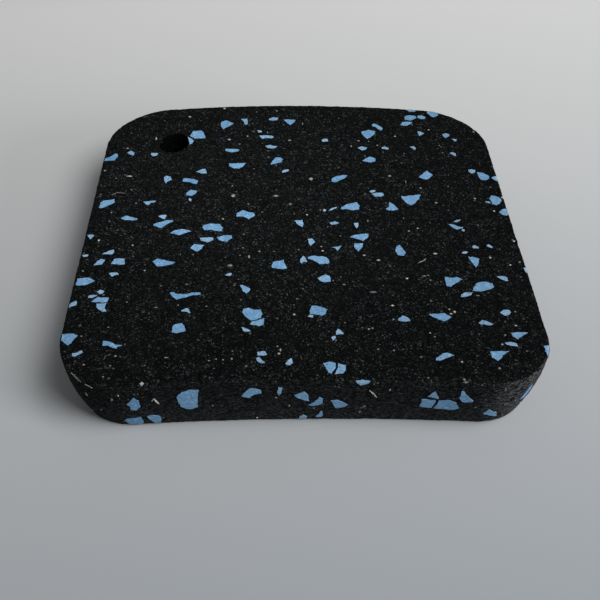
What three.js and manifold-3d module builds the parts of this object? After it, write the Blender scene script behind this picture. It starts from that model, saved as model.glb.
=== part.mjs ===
// Sample of rubber gym floor tile: one slab of bonded black rubber crumb with blue flecks, die-cut to a
// rounded square, with a hole punched through one corner to hang it by.
// Millimetres, +Z up. The slab lies on its underside. The origin is the middle of the floor that it covers,
// +X runs to its right, +Y to its far side, and the hole is in its far left corner.

import * as THREE from "three";
import { mergeVertices } from "three/addons/utils/BufferGeometryUtils.js";
import Module from "manifold-3d";

// Outline of the top face, before its sides bow
const WIDTH = 100;
const DEPTH = 100;
const CORNER_RADIUS = 15;

// The die left the far side bulging and the near side hollow. Each bow is how far out the middle of that side
// stands, and it dies away towards the slab's middle with this power of the distance.
const FAR_BOW = 4.9;
const NEAR_BOW = -2.6;
const BOW_FADE = 3;

// Section through a side: the wall leans in towards the underside with a slight belly, upright at the top and
// leaning most at the bottom, and its two edges are slightly round.
const THICKNESS = 15;
const UNDERCUT = 2.6;
const BELLY = 0.6;
const EDGE_ROUNDING = 0.6;

// The hanging hole was dragged by its punch into an oval, longest nearly front to back.
const HOLE_WIDTH = 7.4;
const HOLE_LENGTH = 9.2;
const HOLE_TURN = THREE.MathUtils.degToRad(-19);
const HOLE_FROM_LEFT = 17.5;
const HOLE_FROM_FAR = 14.4;

// Fineness of the faceted solid
const CORNER_STEPS = 14;
const SIDE_STEPS = 20;
const EDGE_STEPS = 4;
const WALL_STEPS = 6;
const HOLE_STEPS = 48;
const CUT_MARGIN = 5;
const WELD = 1e-4;

// The rounded square before it bows, anticlockwise: four arcs, with the straight sides between them cut into
// equal steps so that they can bend.
function straightOutline() {
  const arcs = [[1, -1], [1, 1], [-1, 1], [-1, -1]].map(([signX, signY], index) => {
    const centreX = signX * (WIDTH / 2 - CORNER_RADIUS);
    const centreY = signY * (DEPTH / 2 - CORNER_RADIUS);
    const start = (index - 1) * (Math.PI / 2);
    return Array.from({ length: CORNER_STEPS + 1 }, (_, step) => {
      const angle = start + (step / CORNER_STEPS) * (Math.PI / 2);
      return new THREE.Vector2(
        centreX + CORNER_RADIUS * Math.cos(angle),
        centreY + CORNER_RADIUS * Math.sin(angle),
      );
    });
  });
  return arcs.flatMap((arc, index) => {
    const from = arc.at(-1);
    const to = arcs[(index + 1) % arcs.length][0];
    const shares = Array.from({ length: SIDE_STEPS - 1 }, (_, step) => (step + 1) / SIDE_STEPS);
    return [...arc, ...shares.map((share) => from.clone().lerp(to, share))];
  });
}

// Section through a side, from the underside up. Each step is a height, and how far the wall stands inside the
// top face's outline there. Both edges are quarter circles, and the lean and its belly lie between them.
function wallSection() {
  const rounding = Array.from({ length: EDGE_STEPS + 1 }, (_, step) => {
    const angle = (step / EDGE_STEPS) * (Math.PI / 2);
    return { rise: EDGE_ROUNDING * (1 - Math.cos(angle)), inset: EDGE_ROUNDING * (1 - Math.sin(angle)) };
  });
  const lower = rounding.map(({ rise, inset }) => ({ height: rise, inset: inset + UNDERCUT }));
  const upper = rounding.map(({ rise, inset }) => ({ height: THICKNESS - rise, inset }));
  const between = Array.from({ length: WALL_STEPS - 1 }, (_, step) => {
    const share = (step + 1) / WALL_STEPS;
    const height = EDGE_ROUNDING + share * (THICKNESS - 2 * EDGE_ROUNDING);
    return { height, inset: UNDERCUT * (1 - share) - 4 * BELLY * share * (1 - share) };
  });
  return [...lower, ...between, ...upper.reverse()];
}

// Draws a point of the straight outline in by an inset, square to its side or along its corner's radius.
function drawIn(point, inset) {
  const reachX = WIDTH / 2 - CORNER_RADIUS;
  const reachY = DEPTH / 2 - CORNER_RADIUS;
  const core = new THREE.Vector2(
    THREE.MathUtils.clamp(point.x, -reachX, reachX),
    THREE.MathUtils.clamp(point.y, -reachY, reachY),
  );
  return core.lerp(point, 1 - inset / CORNER_RADIUS);
}

// Bends the near and far sides: the full bow in the middle of each, and none at the left and right sides.
function bend(point) {
  const across = (2 * point.x) / WIDTH;
  const along = (2 * point.y) / DEPTH;
  const bow = along > 0 ? FAR_BOW : -NEAR_BOW;
  const lift = bow * Math.abs(along) ** BOW_FADE * (1 - across * across);
  return new THREE.Vector2(point.x, point.y + lift);
}

// The slab without its hole, standing on z = 0: one ring of points for each step of the wall's section, and a
// flat face in the first ring and in the last.
function slabGeometry() {
  const outline = straightOutline();
  const rings = wallSection().map(({ inset }) => outline.map((point) => bend(drawIn(point, inset))));
  const heights = wallSection().map(({ height }) => height);
  const count = outline.length;
  const position = rings.flatMap((ring, level) => ring.flatMap(({ x, y }) => [x, y, heights[level]]));
  const wall = rings.slice(1).flatMap((_, level) =>
    outline.flatMap((__, place) => {
      const below = level * count + place;
      const besideBelow = level * count + ((place + 1) % count);
      return [below, besideBelow, besideBelow + count, below, besideBelow + count, below + count];
    }),
  );
  const last = (rings.length - 1) * count;
  const underside = THREE.ShapeUtils.triangulateShape(rings[0], []).flatMap(([a, b, c]) => [a, c, b]);
  const top = THREE.ShapeUtils.triangulateShape(rings.at(-1), []).flat().map((place) => place + last);
  const geometry = new THREE.BufferGeometry();
  geometry.setAttribute("position", new THREE.Float32BufferAttribute(position, 3));
  geometry.setIndex([...wall, ...underside, ...top]);
  return geometry;
}

// The oval prism that the punch takes out, past both faces.
function holeGeometry() {
  const geometry = new THREE.CylinderGeometry(0.5, 0.5, THICKNESS + 2 * CUT_MARGIN, HOLE_STEPS);
  geometry.rotateX(Math.PI / 2);
  geometry.scale(HOLE_WIDTH, HOLE_LENGTH, 1);
  geometry.rotateZ(HOLE_TURN);
  geometry.translate(HOLE_FROM_LEFT - WIDTH / 2, DEPTH / 2 - HOLE_FROM_FAR, THICKNESS / 2);
  return geometry;
}

const wasm = await Module();
wasm.setup();

function solidOf(geometry) {
  geometry.deleteAttribute("normal");
  geometry.deleteAttribute("uv");
  const merged = mergeVertices(geometry, WELD);
  return new wasm.Manifold(
    new wasm.Mesh({
      numProp: 3,
      vertProperties: merged.getAttribute("position").array,
      triVerts: new Uint32Array(merged.index.array),
    }),
  );
}

function geometryOf(solid) {
  const mesh = solid.getMesh();
  const geometry = new THREE.BufferGeometry();
  geometry.setAttribute("position", new THREE.BufferAttribute(mesh.vertProperties, 3));
  geometry.setIndex(new THREE.BufferAttribute(mesh.triVerts, 1));
  geometry.computeVertexNormals();
  return geometry;
}

const tileGeometry = geometryOf(solidOf(slabGeometry()).subtract(solidOf(holeGeometry())));

// The bows are unequal, so the slab's middle is found from its finished shape.
tileGeometry.computeBoundingBox();
const middle = tileGeometry.boundingBox.getCenter(new THREE.Vector3());
tileGeometry.translate(-middle.x, -middle.y, 0);

const blackCrumb = new THREE.MeshStandardMaterial({ color: 0x1b1b1c, roughness: 0.8, metalness: 0 });

const floorTile = new THREE.Mesh(tileGeometry, blackCrumb);
floorTile.name = "floor_tile";

const sample = new THREE.Group();
sample.add(floorTile);

export default sample;
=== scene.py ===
import math

import bpy
import numpy as np
from mathutils import Matrix, Vector


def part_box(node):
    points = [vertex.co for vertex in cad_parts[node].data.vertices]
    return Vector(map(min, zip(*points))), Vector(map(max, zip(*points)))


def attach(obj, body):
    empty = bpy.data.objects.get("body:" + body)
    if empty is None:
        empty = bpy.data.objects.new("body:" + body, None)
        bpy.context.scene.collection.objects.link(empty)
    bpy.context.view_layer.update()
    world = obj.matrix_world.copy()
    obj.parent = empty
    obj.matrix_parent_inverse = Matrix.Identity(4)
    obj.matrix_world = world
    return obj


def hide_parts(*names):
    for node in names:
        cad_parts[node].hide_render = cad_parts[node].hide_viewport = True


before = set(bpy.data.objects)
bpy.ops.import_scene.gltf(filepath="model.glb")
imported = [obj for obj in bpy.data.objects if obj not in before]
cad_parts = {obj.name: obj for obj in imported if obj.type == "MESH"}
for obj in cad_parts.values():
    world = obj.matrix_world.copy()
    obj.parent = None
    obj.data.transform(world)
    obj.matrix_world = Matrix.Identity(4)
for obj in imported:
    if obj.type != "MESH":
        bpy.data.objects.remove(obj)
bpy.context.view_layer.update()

# The slab. Crumb from old tyres is bonded under pressure into a thick sheet, and a die stamps the rounded
# square out of it. The die drags the far side out and the near side in, and leaves the wall leaning in
# towards the underside, with its two edges slightly crumbled.
MM = 0.001
LOW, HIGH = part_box("floor_tile")
SIDE = HIGH.x - LOW.x
THICKNESS = HIGH.z - LOW.z
CORNER_RADIUS = 15 * MM
FAR_BOW = 4.9 * MM
NEAR_BOW = -2.6 * MM
BOW_FADE = 3
UNDERCUT = 2.6 * MM
BELLY = 0.6 * MM
EDGE_ROUNDING = 0.6 * MM
SQUARE_Y = HIGH.y - FAR_BOW - SIDE / 2

# Fineness of its mesh
FACE_CELLS = 176
EDGE_ROWS = 4
WALL_ROWS = 22


def rounded(a, b, inset=0.0):
    """Place in the straight plan of the point (a, b) of a square that runs from -1 to 1.

    Each square ring of it becomes the slab's outline, drawn smaller. Straight sides stay straight, and where
    both coordinates pass the corner's core, the difference between them is the angle on the corner's arc.
    """
    ring = np.maximum(np.abs(a), np.abs(b))
    half = SIDE / 2 - inset
    radius = (CORNER_RADIUS - inset) * ring
    core = half * ring - radius
    x, y = a * half, b * half
    past_x, past_y = np.abs(x) - core, np.abs(y) - core
    on_arc = (past_x > 0) & (past_y > 0)
    angle = math.pi / 4 * (1 + (past_y - past_x) / np.where(on_arc, radius, 1))
    x = np.where(on_arc, np.sign(x) * (core + radius * np.cos(angle)), x)
    y = np.where(on_arc, np.sign(y) * (core + radius * np.sin(angle)), y)
    return x, y


def bend(x, y):
    """Bows the near and far sides: the full bow in a side's middle, fading towards the slab's middle with the
    cube of the distance from it, and towards the left and right sides as a parabola."""
    across, along = 2 * x / SIDE, 2 * y / SIDE
    bow = np.where(along > 0, FAR_BOW, -NEAR_BOW)
    return x, y + bow * np.abs(along) ** BOW_FADE * (1 - across**2) + SQUARE_Y


def walk(along):
    """The point (a, b) on the rim of the square from -1 to 1, at a distance round it from the near side's
    middle, to the right first. The whole way round is four times SIDE."""
    way = (along + SIDE / 2) % (4 * SIDE)
    side, part = np.floor(way / SIDE).astype(int) % 4, 2 * (way % SIDE) / SIDE - 1
    one = np.ones_like(part)
    return np.choose(side, [part, one, -part, -one]), np.choose(side, [-one, part, one, -part])


def inset_at(height):
    """How far the wall stands inside the top outline at a height: a lean with a slight belly between the two
    edges, and within an edge also what its quarter circle takes off."""
    drop = np.clip((THICKNESS - EDGE_ROUNDING - height) / (THICKNESS - 2 * EDGE_ROUNDING), 0, 1)
    past = np.clip(np.maximum(height - THICKNESS, -height) + EDGE_ROUNDING, 0, EDGE_ROUNDING)
    lean = UNDERCUT * drop - 4 * BELLY * drop * (1 - drop)
    return lean + EDGE_ROUNDING - np.sqrt(EDGE_ROUNDING**2 - past**2)


def wall_heights():
    """Heights down a side, closer together round its two edges."""
    drop = EDGE_ROUNDING * (1 - np.cos(np.linspace(0, math.pi / 2, EDGE_ROWS + 1)))
    between = np.linspace(THICKNESS - EDGE_ROUNDING, EDGE_ROUNDING, WALL_ROWS)[1:-1]
    return np.concatenate([THICKNESS - drop, between, drop[::-1]])


def quads(numbers):
    """Four-cornered faces of a grid of vertex numbers."""
    corners = [numbers[:-1, :-1], numbers[1:, :-1], numbers[1:, 1:], numbers[:-1, 1:]]
    return np.stack(corners, -1).reshape(-1, 4)


def scramble(cell, seed):
    """Repeatable random numbers from 0 to 1 for whole-number cells: their bits are folded and multiplied by
    large odd numbers."""
    cell = cell.astype(np.int64)
    mixed = cell[..., 0] * 73856093 ^ cell[..., 1] * 19349663 ^ cell[..., 2] * 83492791 ^ (seed * 40503 + 977)
    mixed = (mixed ^ (mixed >> 13)) * 1274126177
    mixed = (mixed ^ (mixed >> 16)) * 668265263
    return ((mixed ^ (mixed >> 15)) & 0xFFFFF) / 0xFFFFF


def swell(points, size, seed):
    """Smooth random height from -1 to 1: random values at the corners of cubes of this size, and eased
    between."""
    scaled = points / size
    base = np.floor(scaled)
    part = scaled - base
    part = part * part * (3 - 2 * part)
    total = np.zeros(len(points))
    for corner in np.ndindex(2, 2, 2):
        step = np.array(corner)
        total += np.prod(np.where(step, part, 1 - part), -1) * scramble(base + step, seed)
    return 2 * total - 1


def crumbs(points, size, seed):
    """The crumb each point lies in, one centre at random in each cube of this size: how far inside it the
    point is, 0 on the seam to its neighbour, and the crumb's own random number."""
    scaled = points / size
    base = np.floor(scaled)
    nearest, second = np.full((2, len(points)), np.inf)
    chance = np.zeros(len(points))
    for neighbour in np.ndindex(3, 3, 3):
        cell = base + np.array(neighbour) - 1
        centre = cell + np.stack([scramble(cell, seed + axis) for axis in range(3)], -1)
        away = np.linalg.norm(scaled - centre, axis=-1)
        closer = away < nearest
        second = np.where(closer, nearest, np.minimum(second, away))
        chance = np.where(closer, scramble(cell, seed + 3), chance)
        nearest = np.where(closer, away, nearest)
    return second - nearest, chance


# The relief: the sizes of its crumbs, lumps, notches and nicks, the shares that seams and lost crumbs take,
# and depths in millimetres. The wall starts a little proud of the smooth one.
CRUMB_SIZE = 1.6 * MM
FINE_SIZE = 0.7 * MM
BROAD_SIZE = 4.5 * MM
NOTCH_SIZE = 1.7 * MM
NICK_SIZE = 0.9 * MM
SEAM_SHARE = 0.22
LOST_SHARE = 0.035
LOST_EASE = 0.02
LOST_RIM = 0.3
FACE_SEAM, FACE_LOST, FACE_FINE = 0.05, 0.22, 0.035
WALL_SEAM, WALL_LOST, WALL_FINE, WALL_BROAD = 0.07, 0.20, 0.10, 0.08
WALL_PROUD = 0.10
NOTCH_START = 0.45
NOTCH_DEPTH = 0.35
NICK_SHARE = 0.5


def relief(points, steepness):
    """How deep the crumbly skin lies under the smooth one. Faces have shallow seams and a few lost crumbs.
    Walls are rougher, with steepness from 0 on a face to 1 on a wall, and the edges between have notches."""
    inside, chance = crumbs(points, CRUMB_SIZE, seed=11)
    seam = np.clip(1 - inside / SEAM_SHARE, 0, 1)
    lost = np.clip((chance - 1 + LOST_SHARE) / LOST_EASE, 0, 1) * np.clip(inside / LOST_RIM, 0, 1)
    fine = 0.5 + 0.5 * swell(points, FINE_SIZE, seed=21)
    broad = 0.5 + 0.5 * swell(points, BROAD_SIZE, seed=31)
    face = FACE_SEAM * seam + FACE_LOST * lost + FACE_FINE * fine
    wall = WALL_SEAM * seam + WALL_LOST * lost + WALL_FINE * fine + WALL_BROAD * broad - WALL_PROUD
    edge = np.clip(4 * steepness * (1 - steepness), 0, 1)
    notch = np.clip(swell(points, NOTCH_SIZE, seed=41) - NOTCH_START, 0, 1)
    nick = NICK_SHARE * np.clip(swell(points, NICK_SIZE, seed=43), 0, 1)
    return MM * (face + (wall - face) * steepness + NOTCH_DEPTH * edge * (notch + nick))


SHARP_ANGLE = math.radians(50)


def shade(material, piece):
    """Gives a piece its material, smooth shading, and a sharp line where two faces meet at a steep angle."""
    piece.data.materials.clear()
    piece.data.materials.append(material)
    piece.data.shade_smooth()
    piece.data.set_sharp_from_angle(angle=SHARP_ANGLE)


def new_piece(name, points, faces):
    """A mesh object at the origin with its place in its mesh."""
    mesh = bpy.data.meshes.new(name)
    mesh.from_pydata(points.tolist(), [], [list(face) for face in faces])
    mesh.validate()
    piece = bpy.data.objects.new(name, mesh)
    bpy.context.collection.objects.link(piece)
    return piece


def slab_mesh():
    """The two faces are square grids drawn into the outline, and the wall is its section carried round the
    rim. Every point is then let in under the smooth skin by the relief, along its own normal."""
    across = np.linspace(-1, 1, FACE_CELLS + 1)
    a, b = (part.ravel() for part in np.meshgrid(across, across, indexing="ij"))
    numbers = np.arange(a.size).reshape(FACE_CELLS + 1, FACE_CELLS + 1)
    rim = np.concatenate([numbers[:-1, 0], numbers[-1, :-1], numbers[:0:-1, -1], numbers[0, :0:-1]])
    top, under = (
        np.stack([*bend(*rounded(a, b, inset_at(height))), np.full_like(a, height)], -1)
        for height in (THICKNESS, 0.0))
    height = np.repeat(wall_heights()[1:-1, None], rim.size, 1)
    wall = np.stack([*bend(*rounded(a[rim], b[rim], inset_at(height))), height], -1).reshape(-1, 3)
    points = np.concatenate([top, under, wall])

    between = 2 * a.size + np.arange(len(wall)).reshape(-1, rim.size)
    strips = np.vstack([rim, between, rim + a.size])
    strips = np.hstack([strips, strips[:, :1]])
    faces = np.concatenate([quads(numbers), quads(numbers + a.size)[:, ::-1], quads(strips)])
    piece = new_piece("crumb_slab", points, faces)

    normals = np.zeros(points.size)
    piece.data.vertex_normals.foreach_get("vector", normals)
    normals = normals.reshape(-1, 3)
    steepness = 1 - np.abs(normals[:, 2]) ** 2
    points -= normals * relief(points, steepness)[:, None]
    piece.data.vertices.foreach_set("co", points.ravel())
    piece.data.update()
    return piece


slab = slab_mesh()

# The hanging hole. A punch drags it into an oval through the far left corner, and the crumb round its bore is
# torn like the wall. It is cut out of the slab's mesh.
HOLE_WIDTH = 7.4 * MM
HOLE_LENGTH = 9.2 * MM
HOLE_TURN = math.radians(-19)
HOLE_X = LOW.x + 17.5 * MM
HOLE_Y = SQUARE_Y + SIDE / 2 - 14.4 * MM
HOLE_COLUMNS = 72
HOLE_ROWS = 34
PUNCH_MARGIN = 2 * MM


def spin(turn):
    """The matrix that turns points in a plane, each a row, by an angle."""
    return np.array([[math.cos(turn), math.sin(turn)], [-math.sin(turn), math.cos(turn)]])


def punch_mesh():
    """An oval carried up through the slab and past both faces, and let out all round by the wall's relief."""
    turn = np.linspace(0, 2 * math.pi, HOLE_COLUMNS, endpoint=False)
    height = np.linspace(-PUNCH_MARGIN, THICKNESS + PUNCH_MARGIN, HOLE_ROWS)
    turn, height = (part.ravel() for part in np.meshgrid(turn, height))
    oval = np.stack([HOLE_WIDTH / 2 * np.cos(turn), HOLE_LENGTH / 2 * np.sin(turn)], -1)
    out = np.stack([np.cos(turn) / HOLE_WIDTH, np.sin(turn) / HOLE_LENGTH], -1)
    out /= np.linalg.norm(out, axis=-1, keepdims=True)
    oval, out = oval @ spin(HOLE_TURN) + [HOLE_X, HOLE_Y], out @ spin(HOLE_TURN)
    skin = np.column_stack([oval, height])
    oval = oval + out * relief(skin, np.ones(len(skin)))[:, None]
    numbers = np.arange(len(skin)).reshape(HOLE_ROWS, HOLE_COLUMNS)
    strips = np.hstack([numbers, numbers[:, :1]])
    faces = [*quads(strips)[:, ::-1].tolist(), numbers[0, ::-1].tolist(), numbers[-1].tolist()]
    return new_piece("punch", np.column_stack([oval, height]), faces)


punch = punch_mesh()
cut = slab.modifiers.new("Hanging hole", "BOOLEAN")
cut.operation = "DIFFERENCE"
cut.object = punch
cut.solver = "EXACT"
bpy.context.view_layer.update()
seen = slab.evaluated_get(bpy.context.evaluated_depsgraph_get())
slab_with_hole = bpy.data.meshes.new_from_object(seen)
slab.modifiers.clear()
slab.data = slab_with_hole
bpy.data.objects.remove(punch)


class Term:
    """A shader socket that stands for a number, so that arithmetic on it adds Math nodes to its material."""

    def __init__(self, nodes, socket):
        self.nodes, self.socket = nodes, socket

    def _math(self, operation, first, second=0.0):
        outputs = self.nodes.add("ShaderNodeMath", {"operation": operation}, [first, second])
        return Term(self.nodes, outputs[0])

    def __add__(self, other):
        return self._math("ADD", self, other)

    def __radd__(self, other):
        return self._math("ADD", other, self)

    def __sub__(self, other):
        return self._math("SUBTRACT", self, other)

    def __rsub__(self, other):
        return self._math("SUBTRACT", other, self)

    def __mul__(self, other):
        return self._math("MULTIPLY", self, other)

    def __rmul__(self, other):
        return self._math("MULTIPLY", other, self)

    def __truediv__(self, other):
        return self._math("DIVIDE", self, other)

    def __gt__(self, other):
        return self._math("GREATER_THAN", self, other)

    def __abs__(self):
        return self._math("ABSOLUTE", self)


class Nodes:
    """A material's node tree. Its add method makes any node."""

    def __init__(self, name):
        self.material = bpy.data.materials.new(name)
        self.material.use_nodes = True
        self.tree = self.material.node_tree
        self.tree.nodes.clear()

    def add(self, kind, settings=None, inputs=None):
        """Makes a node, sets it up, and fills its sockets by number or by name. Returns its outputs."""
        node = self.tree.nodes.new(kind)
        for key, value in (settings or {}).items():
            setattr(node, key, value)
        pairs = inputs.items() if isinstance(inputs, dict) else enumerate(inputs or [])
        for key, value in pairs:
            self.fill(node.inputs[key], value)
        return node.outputs

    def fill(self, socket, value):
        """Links a socket to a term or to another node's output, or gives it a constant."""
        if isinstance(value, Term):
            value = value.socket
        if isinstance(value, bpy.types.NodeSocket):
            self.tree.links.new(value, socket)
        else:
            socket.default_value = value

    def term(self, socket):
        return Term(self, socket)

    def place(self):
        return self.add("ShaderNodeTexCoord")["Object"]

    def attribute(self, name):
        """The number that the piece's points carry under this name."""
        return self.term(self.add("ShaderNodeAttribute", {"attribute_name": name})["Fac"])

    def blend(self, share, first, second):
        """A colour between two, by a share from 0 to 1."""
        return self.add("ShaderNodeMix", {"data_type": "RGBA"}, {0: share, 6: first, 7: second})[2]

    def noise(self, place, size, detail=2.0, roughness=0.5):
        """Random clouds of about this size."""
        return self.term(self.add("ShaderNodeTexNoise", {}, {
            "Vector": place, "Scale": 1 / size, "Detail": detail, "Roughness": roughness})["Fac"])

    def shaken(self, place, size, amount):
        """A place pushed at random by up to the amount, so that cells read from it have uneven sides."""
        inputs = {"Vector": place, "Scale": 1 / size, "Detail": 3.0}
        push = self.add("ShaderNodeTexNoise", {}, inputs)["Color"]
        return self.vector_math("MULTIPLY_ADD", push, (amount,) * 3, place)["Vector"]

    def vector_math(self, operation, *vectors):
        return self.add("ShaderNodeVectorMath", {"operation": operation}, vectors)

    def parts(self, vector):
        """The three coordinates of a vector, as terms."""
        return [self.term(part) for part in self.add("ShaderNodeSeparateXYZ", {}, [vector])]

    def cells(self, place, size, feature="F1"):
        return self.add("ShaderNodeTexVoronoi", {"feature": feature}, {"Vector": place, "Scale": 1 / size})

    def upright(self):
        """1 on a wall and 0 on a face, from how steep the surface is."""
        normal = self.add("ShaderNodeTexCoord")["Normal"]
        return 1 - self.step(abs(self.parts(normal)[2]), 0.5, 0.95)

    def brightness(self, colour):
        """One number from a cell's random colour."""
        return self.term(self.add("ShaderNodeSeparateColor", {}, [colour])[0])

    def step(self, value, start, end):
        """0 below start, 1 above end, and eased between."""
        ease = {"interpolation_type": "SMOOTHSTEP"}
        return self.term(self.add("ShaderNodeMapRange", ease, [value, start, end])[0])

    def near(self, place, point, start, end):
        """1 closer to a point than start, 0 farther from it than end, and eased between."""
        away = self.term(self.vector_math("DISTANCE", place, point)["Value"])
        return 1 - self.step(away, start, end)

    def finish(self, **sockets):
        shader = self.add("ShaderNodeBsdfPrincipled", {}, sockets)
        self.add("ShaderNodeOutputMaterial", {}, {"Surface": shader[0]})
        return self.material


# Look of the crumb: places on the slab, sizes of its patterns, and colours
# The first place is the middle of a painted pool of light on the top.
PAINTED_LIGHT_PLACE = Vector((-20, 15, 15)) * MM
# The second place is the middle of a painted highlight on the near right corner's wall.
CORNER_HIGHLIGHT_PLACE = Vector((45.6, -48, 9)) * MM
# The third place is the middle of painted shade in the hanging hole's bore.
BORE_MIDDLE = Vector((HOLE_X, HOLE_Y, THICKNESS / 2))
GRAIN_SQUASH = (0.7, 0.7, 1.7)
CRUMB_CELL = 1.5 * MM
FLAKE_CELL = 0.29 * MM
GRIT_CLOUD = 0.24 * MM
GRAIN_CLOUD = 0.6 * MM
PATCH_CLOUD = 2.4 * MM
SHADE_CLOUD = 12 * MM
TINT_CELL = 3.7 * MM
CRUMB_BUMP = 0.22 * MM
CRUMB_DARK = (0.0002, 0.0002, 0.0003, 1)
CRUMB_LIGHT = (0.0070, 0.0080, 0.0080, 1)
# Painted light: the paler grey that the top is painted round the middle of the painted pool of light.
PAINTED_LIGHT_GREY = (0.10, 0.125, 0.12, 1)
FLAKE_GREY = (0.115, 0.128, 0.127, 1)
GRIT_GREY = (0.100, 0.113, 0.114, 1)
SEAM_BLACK = (0.0008, 0.0009, 0.0011, 1)
TORN_GREY = (0.055, 0.056, 0.058, 1)
PIT_BLACK = (0.0008, 0.0008, 0.001, 1)
# Painted highlight: the pale grey of the near right corner's wall.
CORNER_HIGHLIGHT_GREY = (0.135, 0.138, 0.142, 1)
# Painted shade: the near black that the hole's bore is painted.
BORE_PAINTED_SHADE = (0.0004, 0.0004, 0.0005, 1)
SPECK_DARK = (0.08, 0.09, 0.10, 1)
SPECK_LIGHT = (0.32, 0.31, 0.29, 1)

# Pale specks: their cells' size, how rare they are, how far they reach in a cell, and how much they cover
SPECKS = [
    (0.42 * MM, 0.96, 0.40, 0.35),
    (0.7 * MM, 0.985, 0.42, 0.6),
]


def painted_light_pool(n, place):
    """Painted light: 1 round a place on the top, fading out over the rest of the slab."""
    return n.near(place, PAINTED_LIGHT_PLACE, 5 * MM, 85 * MM)


def torn_wall(n, place, upright, grain, colour):
    """The cut wall over a colour: torn crumb, greyer towards the underside, with pits, a painted highlight at
    the near right corner, and painted shade in the hole's bore."""
    low = 1 - n.step(n.parts(place)[2], 0.0, 12 * MM)
    torn = upright * (0.6 + low) * (0.04 + 0.6 * n.step(grain, 0.49, 0.61))
    colour = n.blend(torn, colour, TORN_GREY)
    colour = n.blend(0.7 * upright * (1 - n.step(grain, 0.36, 0.48)), colour, PIT_BLACK)
    # Painted highlight: the near right corner's wall is painted paler where light from the right grazes it.
    corner_highlight = upright * n.near(place, CORNER_HIGHLIGHT_PLACE, 4 * MM, 13 * MM) * (0.04 + n.step(grain, 0.47, 0.58))
    colour = n.blend(0.70 * corner_highlight, colour, CORNER_HIGHLIGHT_GREY)
    # Painted shade: the bore of the hanging hole is painted darker.
    bore = upright * n.near(place, BORE_MIDDLE, 9.5 * MM, 10.5 * MM)
    return n.blend(0.8 * bore, colour, BORE_PAINTED_SHADE)


def black_crumb():
    """Black rubber crumb. Each crumb has its own shade and is split into finer grit, the seams are darker and
    lower, and pale specks of other rubber, cord and stone are pressed in. Round a place left of the top's
    middle the top is painted paler and its grit denser, a painted pool of light that fades across the slab.
    The cut wall is grained level, because the crumb is pressed flat."""
    n = Nodes("Black rubber crumb")
    place = n.shaken(n.place(), 0.9 * MM, 0.45 * MM)
    chance = n.brightness(n.cells(place, CRUMB_CELL)["Color"])
    flake = n.brightness(n.cells(place, FLAKE_CELL)["Color"])
    to_seam = n.term(n.cells(place, CRUMB_CELL, "DISTANCE_TO_EDGE")["Distance"])
    seam = 1 - n.step(to_seam, 0.0, 0.12)
    grit = n.noise(place, GRIT_CLOUD, 4.0, 0.8)
    grain = n.noise(n.vector_math("MULTIPLY", place, GRAIN_SQUASH)["Vector"], GRAIN_CLOUD, 4.0, 0.75)
    # Painted light: 1 round a place left of the top's middle, fading out over the slab.
    painted_light = painted_light_pool(n, place)
    upright = n.upright()

    share = 0.25 * chance + 0.35 * flake + 0.35 * n.noise(place, SHADE_CLOUD, 3.0)
    colour = n.blend(share, CRUMB_DARK, CRUMB_LIGHT)
    # Painted light: the top is painted paler round that place.
    colour = n.blend(0.03 * painted_light * (1 - upright), colour, PAINTED_LIGHT_GREY)
    patch = 0.30 + 0.85 * n.step(n.noise(place, PATCH_CLOUD, 3.0, 0.65), 0.42, 0.60)
    # Painted light: the grey grit is denser round that place and sparser away from it.
    patch = patch * (0.65 + 0.5 * painted_light)
    colour = n.blend(patch * n.step(flake, 0.78, 0.98) * n.step(grit, 0.44, 0.62), colour, FLAKE_GREY)
    colour = n.blend(patch * n.step(grit, 0.58, 0.72), colour, GRIT_GREY)
    colour = n.blend(0.6 * seam, colour, SEAM_BLACK)
    colour = torn_wall(n, place, upright, grain, colour)
    for size, rarity, reach, cover in SPECKS:
        speck = n.cells(place, size)
        rare = n.brightness(speck["Color"]) > rarity
        small = 1 - n.step(n.term(speck["Distance"]), 0.5 * reach, reach)
        tint = n.brightness(n.cells(place, TINT_CELL)["Color"])
        colour = n.blend(rare * small * cover, colour, n.blend(tint, SPECK_DARK, SPECK_LIGHT))

    height = 0.6 * grit + 0.3 * flake + 0.3 * chance - 0.5 * seam + 1.8 * upright * grain
    bump = n.add("ShaderNodeBump", {}, {"Strength": 1.0, "Distance": CRUMB_BUMP, "Height": height})
    return n.finish(**{
        "Base Color": colour, "Roughness": 0.5 + 0.3 * grit, "Normal": bump[0], "Specular IOR Level": 0.02})


shade(black_crumb(), slab)
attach(slab, "root")
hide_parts("floor_tile")

# The blue flecks. Chips of coloured rubber lie among the black crumb. The sheet is cut through them, so the
# top shows their sections flush with it, and the die cuts through the ones in the wall.
FLECK_DEPTH = 0.5 * MM
FLECK_PROUD = 0.03 * MM
WHOLE_CHIP = 3 * MM
FLECK_TRIM = 0.95
FOOT_SHARE = 0.92
MIDWAY_SHARE = 0.5
WEAR = 0.035

# In millimetres, as the outlines are: how long a scattered fleck mostly is, and how far from the next
FLECK_LENGTH = 2.2
SCATTER_APART = 2.2

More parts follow.
